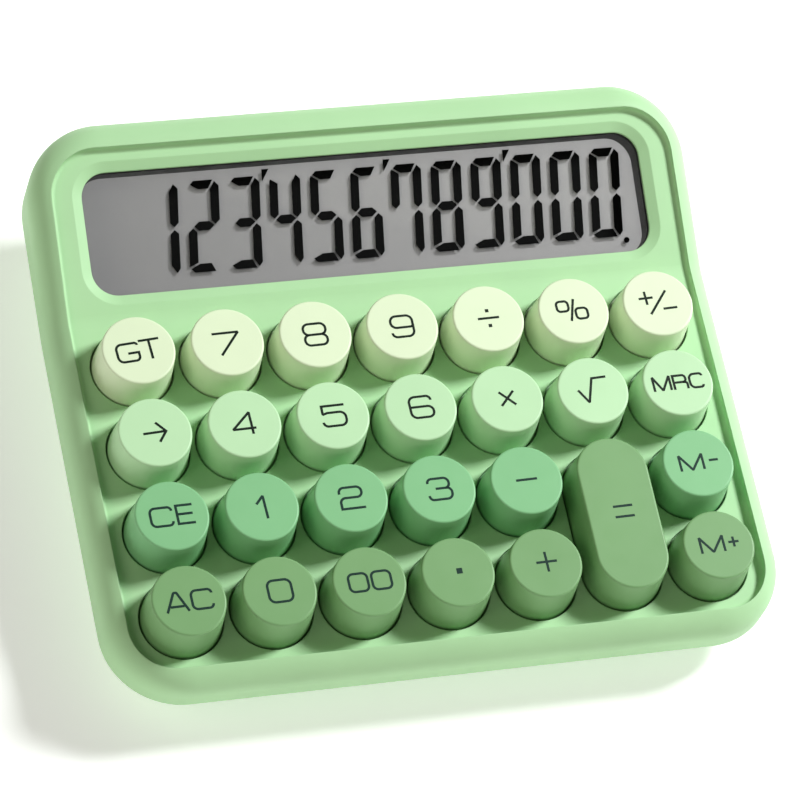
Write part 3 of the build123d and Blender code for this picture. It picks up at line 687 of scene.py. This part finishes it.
def make_digits():
    """The dark segments of the number on the display, as one piece."""
    bm = bmesh.new()
    top = SEGMENT_RISE + SEGMENT_THICKNESS
    last_x, middle_y = LAST_DIGIT
    for place, digit in enumerate(SHOWN):
        x = last_x - (len(SHOWN) - 1 - place) * DIGIT_PITCH
        for segment in LIT[digit]:
            prism(bm, slanted(SEGMENTS[segment], x, middle_y), SEGMENT_RISE, top)
        if place in THOUSANDS_PLACES:
            prism(bm, slanted(THOUSANDS_MARK, x, middle_y), SEGMENT_RISE, top)
    point_x, point_y = DECIMAL_POINT
    angles = [2 * pi * step / DECIMAL_STEPS for step in range(DECIMAL_STEPS)]
    circle = [
        (point_x + DECIMAL_RADIUS * cos(angle), point_y + DECIMAL_RADIUS * sin(angle)) for angle in angles
    ]
    prism(bm, slanted(circle, last_x, middle_y), SEGMENT_RISE, top)
    return add_piece("lcd_segments", bm, reflector_top(), "root", crystal_black("crystal_black"))


# ---- silicone domes ----------------------------------------------------------------------------
DOME_FOOT_RADIUS = 3.9
DOME_CROWN_RADIUS = 2.7
DOME_WALL = 0.45
CROWN_THICKNESS = 1.3
SHEET_THICKNESS = 0.6
SHEET_CORNER = 8.6
DOME_STEPS = 32
POLE = 0.001                    # a radius small enough to close a turned shape


def dome_profile(height):
    """Half section of a dome: a foot ring, a thin cone that buckles and a solid crown."""
    foot, crown = DOME_FOOT_RADIUS, DOME_CROWN_RADIUS
    ceiling = height - CROWN_THICKNESS
    return [
        (foot + 0.3, 0), (foot, 0.25), (crown + 0.25, ceiling), (crown, ceiling + 0.3),
        (crown, height - 0.2), (crown - 0.2, height), (POLE, height), (POLE, ceiling),
        (crown - 0.4, ceiling - 0.1), (foot - DOME_WALL, 0.1), (foot - DOME_WALL, 0),
    ]


def make_domes(materials):
    """A dome under each stem, flattened by its key, on the flat sheet of the mat."""
    low, high = extent("dome_mat", DECK)
    sheet_top = low.z / MM + SHEET_THICKNESS
    height = high.z / MM - sheet_top
    for key in key_names():
        top = key_top(key)
        centre = DECK.inverted() @ top.translation
        key_low, key_high = extent(key, DECK)
        spread = (key_high.y - key_low.y) - (key_high.x - key_low.x)
        offsets = [-spread / 2, spread / 2] if spread > MM else [0]
        bm = bmesh.new()
        for offset in offsets:
            revolve(bm, dome_profile(height), DOME_STEPS, (0, offset / MM))
        place = DECK @ Matrix.Translation((centre.x, centre.y, sheet_top * MM))
        dome = add_piece(key.replace("key_", "dome_"), bm, place, "root", materials["dome_silicone"], True)
        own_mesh(dome)
    bm = bmesh.new()
    corners = ring(low.x / MM, high.x / MM, low.y / MM, high.y / MM, SHEET_CORNER)
    prism(bm, [tuple(point) for point in rounded(corners, closed=True)], 0, SHEET_THICKNESS)
    place = DECK @ Matrix.Translation((0, 0, low.z))
    sheet = add_piece("dome_sheet", bm, place, "root", materials["dome_silicone"])
    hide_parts("dome_mat")


# ---- stage, lights and camera ------------------------------------------------------------------
CAMERA_AZIMUTH = radians(-30.61)
CAMERA_ELEVATION = radians(57.29)
CAMERA_ROLL = radians(21.05)
CAMERA_DISTANCE = 1.0062
CAMERA_TARGET = Vector((-0.0002, -0.0021, 0.020))
CAMERA_LENS = 213.56
CAMERA_SENSOR = 36

WALL_LIGHT = 0.42
CEILING_LIGHT = 0.05
WALL_TOP, CEILING_START = 0.2, 0.9     # heights on the sky sphere between which one fades to the other
STUDIO_COLOUR = (1.0, 0.97, 0.82, 1)
FLOOR_HALF_WIDTH = 3.0
FLOOR_GLOW = 0.36               # keeps the shadow on the paper pale


def direction(azimuth, elevation):
    """From the object towards a place; azimuth 0 is in front of it and 90 to its right."""
    return Vector((
        sin(azimuth) * cos(elevation), -cos(azimuth) * cos(elevation), sin(elevation)
    ))


def make_floor():
    """A sheet of pale paper under the calculator."""
    bm = bmesh.new()
    bmesh.ops.create_grid(bm, x_segments=1, y_segments=1, size=FLOOR_HALF_WIDTH)
    mesh = bpy.data.meshes.new("floor")
    bm.to_mesh(mesh)
    bm.free()
    shader = Shader("floor_paper")
    shader.set("Base Color", shader.mix(
        shader.spread(shader.noise(8, detail=4), 0, 1), srgb(246, 246, 246), srgb(250, 250, 250)
    ))
    shader.set("Roughness", shader.spread(shader.noise(60, detail=4), 0.75, 0.9))
    shader.set("Emission Color", (1, 1, 1, 1))
    shader.set("Emission Strength", FLOOR_GLOW)
    mesh.materials.append(shader.material)
    floor = bpy.data.objects.new("floor", mesh)
    bpy.context.scene.collection.objects.link(floor)


def linked_set(name, pieces, state):
    """A collection that includes or excludes pieces when it is linked to a light."""
    collection = bpy.data.collections.new(name)
    for piece in pieces:
        collection.objects.link(piece)
    for member in collection.collection_objects:
        member.light_linking.link_state = state
    return collection


def add_softbox(name, azimuth, elevation, distance, size, power, colour=(1, 1, 1)):
    """A rectangular light aimed at the object; the angles are in degrees and the power in watts."""
    light = bpy.data.lights.new(name, "AREA")
    light.shape = "RECTANGLE"
    light.size, light.size_y = size
    light.energy = power
    light.color = colour
    softbox = bpy.data.objects.new(name, light)
    towards = direction(radians(azimuth), radians(elevation))
    softbox.location = CAMERA_TARGET + towards * distance
    softbox.rotation_mode = "QUATERNION"
    softbox.rotation_quaternion = (-towards).to_track_quat("-Z", "Y")
    bpy.context.scene.collection.objects.link(softbox)
    return softbox


def make_lights(segments):
    """A key light from the right, two weak fills, and two softboxes for the display alone.

    The display's own lights pass everything but the digits, so that only they shade the reflector.
    """
    reflector = frame["nodes"]["lcd_reflector"]
    key_light = add_softbox("key_light", 106, 46, 1.2, (0.26, 0.26), 18, (0.97, 1.0, 1.0))
    key_light.light_linking.receiver_collection = linked_set("not_on_display", [reflector], "EXCLUDE")
    add_softbox("left_fill", -78, 38, 1.3, (0.6, 0.6), 2.2, (1.0, 0.96, 0.8))
    add_softbox("front_fill", -25, 20, 1.3, (0.8, 0.4), 1.8, (1.0, 0.98, 0.9))
    display = linked_set("only_display", [reflector], "INCLUDE")
    digits = linked_set("only_digits", [segments], "INCLUDE")
    display_light = add_softbox("display_light", 124, 52, 1.2, (0.16, 0.16), 8)
    display_fill = add_softbox("display_fill", 0, 71, 1.2, (0.9, 0.9), 6)
    for softbox in (display_light, display_fill):
        softbox.light_linking.receiver_collection = display
        softbox.light_linking.blocker_collection = digits
    make_studio_walls()


def make_studio_walls():
    """Pale walls all round and a darker ceiling."""
    world = bpy.data.worlds.new("studio")
    world.use_nodes = True
    nodes, links = world.node_tree.nodes, world.node_tree.links
    place = nodes.new("ShaderNodeTexCoord")
    split = nodes.new("ShaderNodeSeparateXYZ")
    climb = nodes.new("ShaderNodeMapRange")
    links.new(place.outputs["Generated"], split.inputs["Vector"])
    links.new(split.outputs["Z"], climb.inputs["Value"])
    for socket, value in zip(climb.inputs[1:5], (WALL_TOP, CEILING_START, WALL_LIGHT, CEILING_LIGHT)):
        socket.default_value = value
    background = nodes["Background"]
    background.inputs["Color"].default_value = STUDIO_COLOUR
    links.new(climb.outputs["Result"], background.inputs["Strength"])
    bpy.context.scene.world = world


def make_camera():
    camera = bpy.data.objects.new("camera", bpy.data.cameras.new("camera"))
    camera.data.sensor_width = CAMERA_SENSOR
    camera.data.lens = CAMERA_LENS
    camera.data.clip_start, camera.data.clip_end = 0.05, 10
    back = direction(CAMERA_AZIMUTH, CAMERA_ELEVATION)
    camera.location = CAMERA_TARGET + back * CAMERA_DISTANCE
    camera.rotation_mode = "QUATERNION"
    level = (-back).to_track_quat("-Z", "Y")
    camera.rotation_quaternion = level @ Quaternion((0, 0, 1), CAMERA_ROLL)
    bpy.context.scene.collection.objects.link(camera)
    bpy.context.scene.camera = camera


materials = make_materials()
dress_nodes(materials)
make_legends()
segments = make_digits()
make_domes(materials)
make_floor()
make_lights(segments)
make_camera()
bpy.context.scene.view_settings.view_transform = "Standard"
